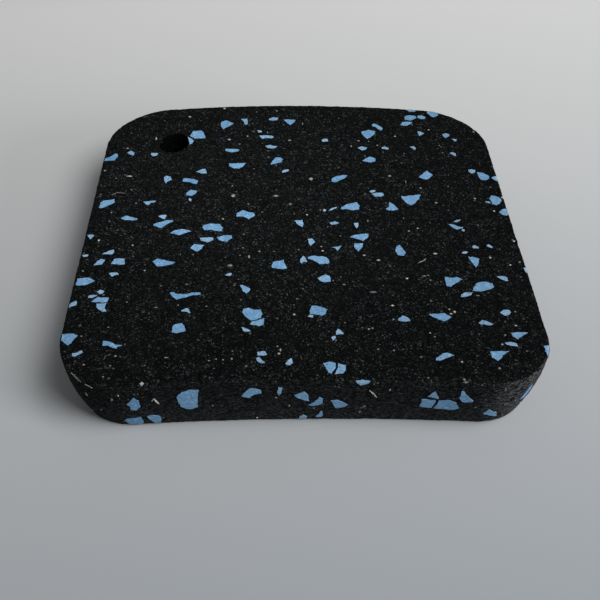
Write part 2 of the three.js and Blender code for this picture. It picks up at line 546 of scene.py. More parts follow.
# Outlines of the top's flecks in millimetres, to the right and to the far side, row by row from the near side
TOP_FLECKS = [
    [(-46.7, -43.8), (-46, -43.9), (-44.6, -42.7), (-45.1, -42.2), (-46, -42.9), (-46.8, -43)],
    [(-4.4, -46.1), (-3.7, -45), (-3.1, -44.6), (-2.8, -45.9), (-3.5, -46.6), (-4.2, -46.4)],
    [(-10.2, -44.6), (-9.6, -44.2), (-8.9, -45.2), (-8.3, -46), (-9.3, -46), (-9.9, -45.5)],
    [(-10, -42.9), (-8.4, -42.7), (-7.9, -43.6), (-8.4, -43.9), (-9.9, -43.8)],
    [(3.1, -46.1), (4.4, -45.6), (5.8, -46), (5.6, -47.5), (4.6, -49), (4.1, -48.6), (3.5, -47.1)],
    [(6.1, -46.1), (7.6, -46.6), (7.6, -48), (6.9, -48.9), (5.2, -49), (6.0, -47.4)],
    [(25.8, -44.9), (27.4, -43.6), (28.4, -43.4), (29.7, -44.1), (28.6, -44.5), (26.5, -45.7), (25.6, -45.5)],
    [(37, -43), (38.8, -43.1), (40.9, -42.9), (39.5, -44.3), (38.8, -45.2), (38.1, -45.9), (37, -44.8)],
    [(48.3, -41.6), (49.7, -41.5), (49.3, -43.2), (48.6, -44.3), (48.3, -43.2)],
    [(-41.3, -39.5), (-39.2, -39.9), (-38.5, -40.7), (-37, -40.9), (-38, -41.3), (-38.1, -41.8),
     (-38.9, -41.6), (-40.1, -40.9), (-41.2, -40.9)],
    [(-49.7, -37.5), (-47.3, -37.5), (-46.3, -38), (-47, -38.9), (-47.4, -40.2), (-48, -40.9), (-48.9, -40.2),
     (-49.7, -39.3)],
    [(40.4, -40.8), (41.6, -40.5), (42.9, -40.9), (43.1, -41.9), (42, -41.6), (40.8, -41.3)],
    [(42.3, -37.9), (44.1, -37.7), (45.9, -37.9), (45, -38.4), (43.4, -39.8), (42.4, -38.9)],
    [(6.6, -36.5), (7.3, -37), (7.8, -38), (6.2, -38.2), (6.1, -37.3)],
    [(5.9, -38.4), (6.1, -38.9), (5.4, -39.9), (5.1, -38.9)],
    [(-13.3, -35.8), (-12, -36.4), (-11.3, -37), (-11.8, -37.2), (-12.9, -37.1)],
    [(-27.5, -35.1), (-25.6, -34.6), (-25, -35.4), (-24.6, -37), (-25.6, -37.1), (-26.4, -37.6),
     (-27.6, -37.4)],
    [(-10, -33.8), (-8.5, -33.2), (-8.6, -35.2), (-9.7, -35.6), (-11.6, -35), (-11.3, -34.3)],
    [(-13.1, -30.4), (-9.3, -30.6), (-9, -31.8), (-9.1, -33.1), (-9.9, -33.6), (-11.3, -34.1), (-12.7, -32.7),
     (-13.3, -31.4)],
    [(36, -35), (37, -34.1), (38.1, -34.5), (39.2, -35.4), (38.6, -35.7), (36.5, -35.4)],
    [(19.3, -33.8), (20.4, -32.6), (21.6, -33.2), (21.9, -34.3), (20.9, -34.5), (19.4, -34.2)],
    [(25.9, -32.3), (27.2, -32.1), (29.5, -32), (30.8, -33.2), (30.2, -33.8), (29, -34.5), (27.9, -33.9),
     (26.6, -33)],
    [(41.1, -31.9), (42, -31.1), (43.3, -31), (43.6, -31.8), (42.9, -32.7), (42, -32.9)],
    [(0.9, -32.3), (1.7, -32.4), (1.6, -33.2), (0.4, -32.8)],
    [(1.3, -29.5), (2.5, -29.5), (3.7, -30.1), (4.8, -30.6), (4.4, -32.1), (3.4, -32.7), (2.1, -32.2),
     (0.9, -32.1), (1, -30.7)],
    [(-26.1, -30.8), (-24.9, -30.1), (-24.4, -30.5), (-24, -31.9), (-24.8, -31.3), (-26, -31.1)],
    [(-44.1, -28.6), (-42, -28.5), (-42.1, -29.8), (-41.6, -31.1), (-42.6, -31.1), (-43.9, -29.8)],
    [(-49.7, -29.8), (-48.2, -29.1), (-48.1, -28.2), (-48.5, -27.7), (-49.7, -28.6)],
    [(-44, -26.6), (-41.5, -26.8), (-41.8, -28.2), (-42.7, -28.4), (-45.3, -28.1), (-44.9, -27.5)],
    [(-46, -26.1), (-45.1, -25.9), (-44.2, -26.1), (-45.1, -26.9), (-46.1, -26.9)],
    [(-43.9, -24.3), (-42.9, -24.8), (-43.1, -25.5), (-43.8, -25.7), (-44.5, -25)],
    [(-29.1, -25.3), (-28.1, -25.1), (-27.8, -25.6), (-25.3, -25.8), (-23.5, -25.2), (-22.1, -25.3),
     (-22.1, -25.9), (-24.6, -26.4), (-26.4, -27.1), (-27.3, -27.6), (-28.1, -26.9)],
    [(34.5, -25.7), (36.5, -25.5), (36.1, -26.3), (34.9, -26.9), (33.7, -27.1), (33.8, -26.3)],
    [(36.8, -24.1), (38.1, -22.2), (39.9, -22), (41.3, -22.7), (41.6, -23.8), (40.6, -24.6), (38.1, -25.4),
     (36.5, -25.1)],
    [(31.1, -20.4), (32.7, -20.8), (33.8, -20.5), (35, -21.3), (33.4, -22.5), (32, -23.9), (31, -23.6),
     (31, -21.8)],
    [(42.6, -20.4), (44, -20.3), (45, -20.7), (44.9, -22), (44.3, -22), (43.1, -21.1)],
    [(49.2, -17.6), (49.8, -17.3), (49.8, -19.4), (49.4, -19.1)],
    [(-14, -23), (-13.4, -22.9), (-11.6, -24.1), (-11.8, -25), (-12.5, -25.8), (-13.3, -24.8)],
    [(3, -20.9), (3.9, -20.1), (4.8, -19.6), (5.7, -20.1), (6, -20.9), (5.9, -22.1), (4.1, -22.2),
     (3.4, -21.6)],
    [(-49.3, -20.6), (-46.7, -20.5), (-45.2, -21.5), (-46, -22), (-47.2, -22.8), (-49.5, -23)],
    [(-42.7, -18.9), (-40.9, -18.7), (-40.4, -19.5), (-41.4, -19.6), (-41.9, -20.2), (-42.4, -19.6)],
    [(-17.3, -19.7), (-16.6, -19.1), (-15.9, -19), (-15.8, -19.7), (-16.5, -20)],
    [(-6.8, -15.3), (-4.3, -14.5), (-4.1, -15.9), (-3.6, -17.6), (-4.4, -17.9), (-7.1, -17.3)],
    [(0.1, -13.1), (0.5, -13.8), (1, -15.5), (0.1, -15.3), (-0.5, -15.9), (-0.75, -14.8)],
    [(1, -13.6), (2.5, -13.2), (5.3, -13.8), (6.2, -15.3), (5.7, -16), (3.7, -16.2), (2.5, -15), (1, -14.1)],
    [(37.3, -13.6), (38.4, -13.7), (39.9, -14.4), (39.5, -15.9), (38.6, -17.5), (38.1, -16.2)],
    [(-33.6, -15.1), (-32.8, -14.1), (-31, -14.6), (-28.4, -15.3), (-29, -16), (-31, -16.6), (-32.4, -16.9)],
    [(-42.3, -14.1), (-39.8, -14.1), (-39.6, -16.2), (-42.7, -15.9)],
    [(-45.1, -14.1), (-44.1, -14.4), (-44.6, -16), (-46.5, -16.4), (-46, -15.3)],
    [(-49.5, -12.8), (-48, -12.6), (-48.3, -13.4), (-49.2, -13.4)],
    [(-45.3, -12.6), (-43.7, -11.4), (-42.6, -10.9), (-42.4, -11.8), (-42.8, -12.6)],
    [(21.5, -10.1), (22.2, -9.4), (22.9, -10.7), (23.4, -12.3), (22.9, -13.4), (21.5, -13.2), (21, -11.6)],
    [(36.2, -12.2), (37, -11.8), (37.7, -12), (37.2, -12.6), (36.3, -12.6)],
    [(38.9, -10.1), (39.5, -9.6), (40.4, -10.3), (40.4, -10.9), (39.1, -10.8)],
    [(42.3, -9.6), (42.9, -9.4), (43.7, -10.3), (43.4, -10.8), (42.4, -10.1)],
    [(11.9, -9), (14, -8.8), (13.8, -10), (12.6, -11.9), (11.8, -10.3)],
    [(6.6, -10.3), (8, -10.1), (9, -9.6), (8.5, -10.5), (7.9, -11.6), (7.5, -10.7)],
    [(1.3, -7.3), (2.3, -7.1), (3, -8.4), (1.9, -9.8), (1.4, -8.9)],
    [(10.9, -6.6), (12.1, -5.9), (14.4, -5.3), (15.6, -5.4), (15.3, -6.8), (14.1, -8.1), (12.6, -7.3)],
    [(-24.8, -9), (-22.4, -9.4), (-22.8, -10.7), (-24, -11.8), (-25.5, -10.5)],
    [(-23.6, -6.8), (-20.5, -6.6), (-20.3, -7.6), (-21.7, -8.5), (-23.3, -7.8)],
    [(-19.8, -6.7), (-18.1, -5.9), (-16.2, -5.8), (-16.1, -6.8), (-17.2, -8.4), (-18.9, -7.8)],
    [(-49.5, -5.7), (-47.8, -5.7), (-48, -6.4), (-48.5, -7.3), (-49, -6.6)],
    [(-30.6, -5.1), (-29.6, -4.1), (-27.8, -3.6), (-25.5, -4.3), (-26.7, -4.9), (-28.5, -5.9), (-29.6, -5.3)],
    [(-23.1, -2.1), (-21.4, -1.5), (-19, -1.8), (-18.2, -3.2), (-18.7, -4.4), (-20.3, -4.3), (-21, -3.8),
     (-22.8, -4), (-23.3, -3)],
    [(-34.8, -1.8), (-33.1, -0.9), (-31.2, -0.2), (-29.9, -0.5), (-31.2, -1.4), (-32.8, -3.2), (-34.6, -2.5)],
    [(-33.9, 1.3), (-33, 1.8), (-31.9, 1.8), (-32.1, 0.1), (-32.7, 0.3)],
    [(-42.7, 0.6), (-41.4, 1.6), (-40.1, 0.9), (-38.5, 0.4), (-38.7, -0.1), (-41.4, -0.3)],
    [(-15.4, 2.4), (-14, 3.6), (-12.9, 3.1), (-11.1, 2.5), (-10.9, 1.5), (-12.4, -0.1), (-13.6, 1.1),
     (-15.5, 1.1)],
    [(-1.7, -0.4), (0.3, -0.2), (0.5, -1.9), (0.2, -3), (-0.8, -2.1)],
    [(6.5, -1.2), (8, -0.9), (8.9, -1.3), (8.2, -1.8), (6.9, -2)],
    [(12.3, -1.4), (13.4, -1.3), (13.3, -2.5), (12.8, -3.5), (12.5, -2.5)],
    [(34.5, -1.9), (35.6, -1.9), (37, -2.8), (38.1, -3), (37.9, -3.5), (36.3, -3.9), (35.4, -3)],
    [(37.6, -3.7), (38.2, -3.9), (38, -4.7), (37.5, -4.4)],
    [(36, -1), (36.8, -0.3), (37.9, -0.1), (37.5, -0.7), (36.5, -1.1)],
    [(6.6, 3.2), (7.3, 4.3), (8.8, 4.9), (8.5, 4.4), (7.6, 3.8)],
    [(5.2, 3.3), (5.7, 3), (6.1, 3.7), (5.6, 4.1)],
    [(9.6, 4.7), (11.2, 5.9), (13.7, 6.9), (14.3, 5.2), (14, 3.8), (12.6, 3.4), (10.9, 4), (9.5, 3.9)],
    [(47.5, 2.7), (48.4, 3.8), (49.7, 4.2), (49.8, 1.9), (49.1, 1.3), (48.1, 1.8)],
    [(47, 9.5), (47.9, 9.3), (49, 8.4), (49.3, 7.4), (48.4, 6.1), (47.4, 5.4), (46.4, 5.9), (46.6, 6.6),
     (46.1, 8.1)],
    [(44.9, 6.9), (45.9, 7), (46.4, 6.4), (45.6, 6.3)],
    [(21.6, 6.8), (22.7, 5.6), (23.4, 4), (22.4, 3.4), (21.1, 3.3), (20.4, 3.9), (21.2, 5)],
    [(24.5, 9.3), (27.7, 9.5), (29, 9.9), (29.7, 9.7), (29.1, 8.1), (27.7, 6.1), (26.6, 5.3), (25.6, 6.3),
     (24.7, 8.1)],
    [(17.4, 10.2), (18.8, 10.6), (20.4, 10.4), (20.5, 9.5), (19.7, 8.9), (18.1, 9.1)],
    [(17, 11.1), (17.7, 11.6), (18.6, 11.6), (18.4, 10.9), (17.4, 10.6)],
    [(-47.6, 7.4), (-44.9, 7.9), (-44.6, 6.8), (-45.6, 5.8), (-47.3, 4.5), (-48.3, 4.3), (-48.2, 6.6)],
    [(-38, 7), (-36.7, 7.1), (-34.8, 7.4), (-35.1, 6.8), (-36.2, 6.5), (-36.6, 5.4), (-37.3, 5.9)],
    [(-27.1, 8.3), (-26.5, 8.1), (-26.4, 7), (-27, 7.5)],
    [(-26.9, 11.8), (-25.2, 11.3), (-25.4, 10.4), (-26.4, 9.4), (-28, 9.5), (-27.8, 10.6)],
    [(-29.1, 16.6), (-26.7, 16.5), (-25.2, 15.6), (-25.4, 14.1), (-26.4, 14.3), (-27.4, 15), (-29.2, 15.3)],
    [(-33.8, 17.2), (-33.1, 17.7), (-32.2, 17.3), (-31.7, 16), (-32.8, 15.4), (-33.1, 14.3), (-33.7, 15.4)],
    [(8.7, 17.2), (10.7, 18), (12.2, 18.1), (11.8, 17.2), (10.5, 16.1), (8.6, 14.7), (7.9, 15.2), (8, 16.4)],
    [(32.5, 20.1), (32.9, 19.2), (33.8, 18.1), (33, 17), (32, 16.1), (31.1, 16.2), (30, 17), (30.3, 17.8),
     (31.5, 18.9)],
    [(45, 19.4), (46.3, 19.2), (47.9, 17.9), (47.9, 16.6), (46.8, 15.8), (45.6, 15.9), (45.2, 17)],
    [(43, 20.4), (44.1, 20.6), (45, 20.1), (44.5, 19.2), (43.6, 18.6), (43.1, 19.4)],
    [(48.6, 17.2), (49.8, 17.6), (49.8, 15.6), (49.2, 15.6), (48.3, 16.6)],
    [(-26.1, 19.4), (-24.4, 20.6), (-23.6, 20.7), (-23.3, 18.6), (-24.8, 18.7)],
    [(-4.5, 19.5), (-3.8, 20.3), (-2.7, 20.5), (-2.6, 19.9), (-3.6, 19.2), (-4.3, 19)],
    [(-18, 23.1), (-13.6, 23.1), (-14, 22.2), (-15.2, 20.8), (-16.8, 20.9), (-17.8, 22)],
    [(-5.9, 25.9), (-4.7, 25.8), (-4, 24.9), (-4.7, 23.6), (-6.3, 22.9), (-7.4, 22.6), (-6.8, 24)],
    [(17.2, 25.4), (18.3, 26.3), (19.8, 25.4), (19.7, 24.2), (18.4, 23.5), (16.2, 24.2)],
    [(-49.6, 25.1), (-48.1, 26.3), (-47.3, 27.6), (-46.5, 27.2), (-46.4, 26), (-47.1, 24.4), (-49.6, 24.1)],
    [(-44.3, 27.9), (-43.3, 28.9), (-42.4, 27.9), (-42.5, 26.5), (-43.5, 27)],
    [(-38.1, 27.9), (-36.3, 27.6), (-36.5, 26.7), (-37.5, 26.3), (-38.1, 27)],
    [(-19.3, 29.7), (-15.8, 29.7), (-15.3, 29.1), (-15.9, 28.5), (-17.5, 28.1), (-18.9, 28.7)],
    [(39.3, 27.9), (40.2, 28.3), (40.9, 27.8), (40.9, 26.3), (40.2, 27)],
    [(-8.7, 31.1), (-7.4, 31.6), (-6.6, 31.1), (-5.4, 30.9), (-5.9, 30.3), (-7.2, 29.9), (-8.3, 30.3)],
    [(15.4, 30.2), (16.4, 30.9), (18.2, 30.5), (17.6, 29.5), (16.6, 29), (16, 29.7)],
    [(21.8, 30.4), (22.7, 31), (23.8, 30.1), (23.6, 29.4), (22.7, 29.7), (21.8, 29.9)],
    [(29.2, 30.9), (30.4, 31), (30.9, 30.1), (30.5, 29.3), (29.9, 30.1)],
    [(6.2, 34), (6.9, 34.6), (8, 34.4), (7.9, 33.2), (6.4, 33.1)],
    [(-29.2, 35.4), (-28.1, 34.4), (-27.4, 33.4), (-27.8, 32.4), (-28.4, 31.7), (-28.8, 33.6)],
    [(-28, 38.2), (-25.6, 38.4), (-24.9, 37.2), (-24.4, 34.7), (-27.4, 34.5), (-28.7, 35.7), (-28.3, 37.2)],
    [(-10.4, 36.1), (-8.3, 36.2), (-6.8, 36), (-6.3, 35.3), (-7, 34.8), (-8.4, 34.9), (-9.7, 34.4)],
    [(40.9, 34.7), (41.6, 34.6), (42.3, 34.2), (42, 33.5), (41.5, 33.4)],
    [(38.7, 36.9), (39.9, 37.3), (40.8, 36.7), (40.4, 35.8), (39.3, 35.1), (38.8, 35.8)],
    [(32.2, 38.3), (33.1, 38.2), (34, 37.2), (33.1, 36.5), (32.5, 35.9), (32.3, 36.9)],
    [(16.9, 38), (18.1, 38.5), (19.1, 39), (20.9, 38.3), (20.8, 37.2), (19.5, 35.4), (18.4, 34.5),
     (17.4, 36.1)],
    [(-10.8, 38.6), (-9.6, 38.3), (-9.7, 37.6), (-10.6, 37.6)],
    [(20.1, 41.5), (20.9, 42.2), (22.2, 41), (23.1, 39.7), (22.6, 38.6), (22, 39), (21.1, 40.4),
     (20.3, 40.8)],
    [(-20.7, 42.8), (-19.2, 43.6), (-17.3, 42.1), (-17.8, 41.3), (-20, 38.9), (-20.8, 41.1)],
    [(-3.9, 44), (-2.4, 44.2), (-0.3, 43.8), (-1.1, 42.4), (-1.8, 41.1), (-2.7, 42.1)],
    [(-15.4, 44.2), (-13.6, 44.5), (-13.4, 42.9), (-13.4, 41.5), (-14.1, 41.3), (-14.6, 43.1)],
    [(-7.7, 44.5), (-6.6, 45.1), (-5.1, 45), (-5.4, 43.8), (-6.6, 43.5), (-7.8, 43.8)],
    [(28.6, 42.8), (29.9, 43.1), (31.5, 42.9), (30.9, 41.9), (29.5, 41), (28, 41.2)],
    [(29.5, 45.6), (30.4, 46.4), (32.7, 46.1), (32.9, 45.1), (31.6, 43.9), (30.8, 43.6), (29.3, 44.2)],
    [(33.1, 46.1), (34.3, 46.4), (35.4, 45.6), (35.2, 44.7), (34.1, 44.3), (33.2, 44.9)],
    [(30.4, 49), (31.6, 49.4), (33.1, 48.8), (32.9, 48.3), (31.3, 48.2)],
    [(35.9, 47.6), (36.3, 48.6), (37.7, 48.5), (39.1, 47.4), (39.1, 46.5), (38.4, 45.8), (37.5, 45.3),
     (36.8, 46)],
]

# Outlines of the near wall's flecks in millimetres: the way round the rim, and the height
WALL_FLECKS = [
    [(-34.1, 11.5), (-33.3, 10.4), (-33.4, 8.2), (-34.5, 6.9), (-35.7, 7), (-35.5, 8.4), (-36.2, 9.4)],
    [(-25.9, 11.2), (-24.7, 12.5), (-23.2, 13.2), (-21.1, 13), (-21.8, 9.6), (-22.1, 7), (-23.7, 6.1),
     (-24.6, 6.3), (-25.7, 7.4), (-25.9, 9.4)],
    [(-39, 2.7), (-38.2, 3.5), (-34.5, 3.8), (-34.7, 1.5), (-35.7, 0.6), (-38.6, 0.6), (-39, 1.9)],
    [(-33.4, 4.2), (-32.4, 4.7), (-30.5, 4), (-30.7, 2.4), (-31.5, 0.7), (-32.8, 0.7), (-33.3, 2.6)],
    [(-13.3, 10.4), (-11.8, 12.7), (-11, 13), (-9.1, 12.3), (-9, 11.2), (-10.6, 10.9), (-11.5, 9.8),
     (-12.6, 10)],
    [(-5.7, 13), (-4.9, 12.7), (-5.2, 11.2), (-5.7, 10.2), (-6.1, 11.4)],
    [(-2.7, 10.4), (-0.7, 11.7), (0, 10.9), (0.5, 8.2), (-0.7, 8.6), (-1.9, 9.4)],
    [(0.2, 6.7), (1.4, 7.9), (2.5, 9.7), (3.2, 9.2), (3.1, 7.5), (2.2, 6.6), (1, 6.4)],
    [(4.8, 8.6), (6.2, 8.6), (7.7, 7.5), (8.5, 6.7), (7.7, 5.9), (6, 5.4), (5.4, 6.9)],
    [(9.2, 14.8), (10.8, 14.9), (12.3, 14.8), (11.8, 14.1), (10.4, 13.5), (9.7, 14.1)],
    [(2.9, 4.3), (3.5, 3.6), (3.6, 1.9), (2.7, 1.3), (1.9, 1.7), (2.7, 2.9)],
    [(-1.5, 1.7), (-0.7, 2.4), (0.2, 1.7), (0, 0.7), (-1.5, 0.7)],
    [(24, 10.3), (25.2, 12.2), (25.8, 11.2), (26.4, 9.6), (25.4, 9.9)],
    [(22.9, 9.3), (26, 9.2), (26.1, 8.1), (25.7, 6.2), (23.9, 6.3), (23, 6.8)],
    [(26.5, 9.1), (28.3, 9.4), (30.2, 8.6), (31.4, 6.4), (30.6, 5.7), (27.7, 5.8), (26, 6.1), (26.4, 7.6)],
    [(30.4, 12.7), (31, 12.3), (31.9, 10.9), (33.5, 9.3), (33.3, 8.9), (31.2, 8.7), (30.2, 10.3)],
    [(36.9, 4.8), (38, 6.3), (39.4, 5.3), (41, 4.6), (42.3, 2.6), (41, 2.9), (38.9, 3.8), (37.3, 4.5)],
    [(46.7, 7.2), (47.4, 8.9), (48.6, 10.4), (50, 10.7), (49.7, 9.2), (48.6, 7.3)],
    [(56.8, 14.7), (59.8, 14.7), (62, 13.4), (63.5, 12.4), (62.5, 12), (59.6, 12.9), (57.2, 13.8)],
]


# The flecks out of sight: how many, and the corners of the area that they are strewn over, in millimetres
UNDERSIDE_FLECKS = (78, (-42, -44), (42, 43))
HIDDEN_WALL_FLECKS = (44, (66, 1.6), (334, 13.2))

UNBEND_ROUNDS = 6
RIM_MARGIN = 0.1 * MM
TINY = 1e-9
WALL_STEP = 0.05 * MM


def face_skin(x, y, out, up):
    """A place on the top face, or with up at -1 on the underside, raised by out. Over the rounded edge it
    comes down with it, and it never passes the outline. The bend is undone in rounds, each of which takes
    off what is left of it."""
    straight = y - SQUARE_Y
    for _ in range(UNBEND_ROUNDS):
        straight = straight - (bend(x, straight)[1] - y)
    lean = 0 if up > 0 else UNDERCUT
    reach = SIDE / 2 - CORNER_RADIUS
    core_x, core_y = np.clip(x, -reach, reach), np.clip(straight, -reach, reach)
    away = np.hypot(x - core_x, straight - core_y)
    kept = np.minimum(away, CORNER_RADIUS - lean - RIM_MARGIN)
    pull = kept / np.maximum(away, TINY)
    past = np.clip(kept - (CORNER_RADIUS - lean - EDGE_ROUNDING), 0, EDGE_ROUNDING)
    drop = EDGE_ROUNDING - np.sqrt(EDGE_ROUNDING**2 - past**2)
    x, y = bend(core_x + (x - core_x) * pull, core_y + (straight - core_y) * pull)
    return np.stack([x, y, (THICKNESS if up > 0 else 0) + up * (out - drop)], -1)


def top_skin(across, along, out):
    return face_skin(across, along, out, 1)


def underside_skin(across, along, out):
    """The underside, with across counted as it is seen from below."""
    return face_skin(-across, along, out, -1)


def wall_skin(way, height, out):
    """A place on the wall, a way round the rim and at a height, raised by out. The direction out is square to
    two short steps, one along the rim and one up the wall."""
    def smooth(way, height):
        return np.stack([*bend(*rounded(*walk(way), inset_at(height))), height], -1)

    round_rim = smooth(way + WALL_STEP, height) - smooth(way - WALL_STEP, height)
    up = smooth(way, height + WALL_STEP) - smooth(way, height - WALL_STEP)
    outward = np.cross(round_rim, up)
    outward /= np.linalg.norm(outward, axis=-1, keepdims=True)
    return smooth(way, height) + (out + WALL_PROUD * MM) * outward


def worn(outline, rng):
    """The outline, anticlockwise, with two more corners on each side and all of them a little out of line."""
    ahead = np.roll(outline, -1, 0)
    area = np.sum(outline[:, 0] * ahead[:, 1] - outline[:, 1] * ahead[:, 0])
    if area < 0:
        return worn(outline[::-1], rng)
    side = ahead - outline
    corners = outline[:, None] + side[:, None] * np.array([0, 1 / 3, 2 / 3])[None, :, None]
    corners += rng.normal(0, WEAR, corners.shape) * np.linalg.norm(side, axis=-1)[:, None, None]
    return corners.reshape(-1, 2)


def trimmed(outline):
    """The outline drawn in a little towards its middle, because it was read along the fleck's outer edge."""
    middle = np.mean(outline, axis=0)
    return middle + (np.array(outline) - middle) * FLECK_TRIM


def angular(length, width, turn, rng):
    """An angular outline: corners at uneven turns round an oval of this length and width, turned."""
    count = rng.integers(4, 7)
    angle = (np.arange(count) + rng.uniform(-0.3, 0.3, count)) * 2 * math.pi / count
    reach = rng.uniform(0.75, 1.15, count)
    corners = np.stack([length / 2 * reach * np.cos(angle), width / 2 * reach * np.sin(angle)], -1)
    return corners @ spin(turn)


def chips(name, laid, rng, proud=FLECK_PROUD, depth=FLECK_DEPTH):
    """One mesh of many chips, each an outline laid on a skin. A chip is a stack of rings: a closed one down
    in the slab, its outline on the skin, and the same outline midway in, so that it follows a round corner.
    Its points carry its own random tint, and its smallness, from 1 for a speck to 0 for a whole chip."""
    points, faces, tints, smallness, start = [], [], [], [], 0
    for outline, skin in laid:
        outline = worn(np.array(outline, float) * MM, rng)
        middle, count = outline.mean(0), len(outline)
        for share, out in ((FOOT_SHARE, -depth), (1, proud), (MIDWAY_SHARE, proud)):
            ring = middle + (outline - middle) * share
            points.append(skin(ring[:, 0], ring[:, 1], out))
        rings = start + np.arange(3 * count).reshape(3, count)
        strips = np.hstack([rings, rings[:, :1]])
        faces += [*quads(strips)[:, ::-1].tolist(), rings[0, ::-1].tolist(), rings[-1].tolist()]
        tints.append(np.full(3 * count, rng.uniform()))
        across = math.sqrt(np.prod(np.ptp(outline, axis=0)))
        smallness.append(np.full(3 * count, np.clip(1.5 * (1 - across / WHOLE_CHIP), 0, 1)))
        start += 3 * count
    piece = new_piece(name, np.concatenate(points), faces)
    for attribute, values in (("tint", tints), ("smallness", smallness)):
        data = piece.data.attributes.new(attribute, "FLOAT", "POINT").data
        data.foreach_set("value", np.concatenate(values))
    return piece


def scattered(skin, count, low, high, middle_length, rng):
    """Angular outlines strewn over a skin between two corners, well apart and mostly about this long."""
    laid, taken = [], []
    while len(laid) < count:
        place = rng.uniform(low, high)
        if all(math.dist(place, other) > SCATTER_APART for other in taken):
            taken.append(place)
            length = middle_length * np.clip(rng.lognormal(0, 0.38), 0.3, 2.2)
            width = length * rng.uniform(0.45, 0.85)
            laid.append((angular(length, width, rng.uniform(0, 2 * math.pi), rng) + place, skin))
    return laid


BLUE_DEEP = (0.12, 0.31, 0.56, 1)
BLUE_BRIGHT = (0.275, 0.51, 0.76, 1)
BLUE_SMALL = (0.50, 0.65, 0.76, 1)
BLUE_GRAIN = (0.083, 0.20, 0.35, 1)
BLUE_STREAK = (0.42, 0.69, 0.93, 1)
# Painted shade: the darker blue that the flecks are painted away from the painted pool of light.
FLECK_PAINTED_SHADE = (0.02, 0.03, 0.05, 1)
FLECK_DUST = (0.012, 0.02, 0.035, 1)
FLECK_BUMP = 0.1 * MM


def blue_rubber():
    """Light blue rubber. Each chip has its own shade, the smallest are paler, and dark crumb dust lies on
    them. Away from the painted pool of light on the top they are painted darker, as painted shade."""
    n = Nodes("Blue rubber")
    place = n.shaken(n.place(), 0.6 * MM, 0.3 * MM)
    grain = n.noise(place, 0.4 * MM, 3.0, 0.65)
    share = 0.5 * n.attribute("tint") + 0.5 * n.noise(place, 1.6 * MM)
    colour = n.blend(share, BLUE_DEEP, BLUE_BRIGHT)
    colour = n.blend(0.55 * n.attribute("smallness"), colour, BLUE_SMALL)
    colour = n.blend(0.5 * n.step(grain, 0.47, 0.60), colour, BLUE_GRAIN)
    streak = n.step(n.noise(place, 0.7 * MM, 3.0, 0.7), 0.52, 0.66)
    colour = n.blend(0.55 * streak, colour, BLUE_STREAK)
    # Painted shade: the flecks are painted darker away from the place of the painted light.
    colour = n.blend(0.37 * (1 - painted_light_pool(n, place)), colour, FLECK_PAINTED_SHADE)
    dust = n.step(n.noise(place, 0.5 * MM, 3.0, 0.75), 0.60, 0.68)
    colour = n.blend(0.8 * dust, colour, FLECK_DUST)
    bump = n.add("ShaderNodeBump", {}, {"Strength": 0.4, "Distance": FLECK_BUMP, "Height": grain - dust})
    return n.finish(**{
        "Base Color": colour, "Roughness": 0.6 + 0.15 * grain, "Normal": bump[0], "Specular IOR Level": 0.2})


rng = np.random.default_rng(4)
laid = [(trimmed(outline), top_skin) for outline in TOP_FLECKS]
laid += [(trimmed(outline), wall_skin) for outline in WALL_FLECKS]
laid += scattered(underside_skin, *UNDERSIDE_FLECKS, FLECK_LENGTH, rng)
laid += scattered(wall_skin, *HIDDEN_WALL_FLECKS, FLECK_LENGTH, rng)
flecks = chips("blue_flecks", laid, rng)
shade(blue_rubber(), flecks)
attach(flecks, "root")

# The pale crumbs. Specks of white and grey rubber, stone and torn cord that came along with the black crumb,
# cut through and pressed in like the flecks.
CRUMB_DEPTH = 0.25 * MM
CRUMB_PROUD = 0.02 * MM

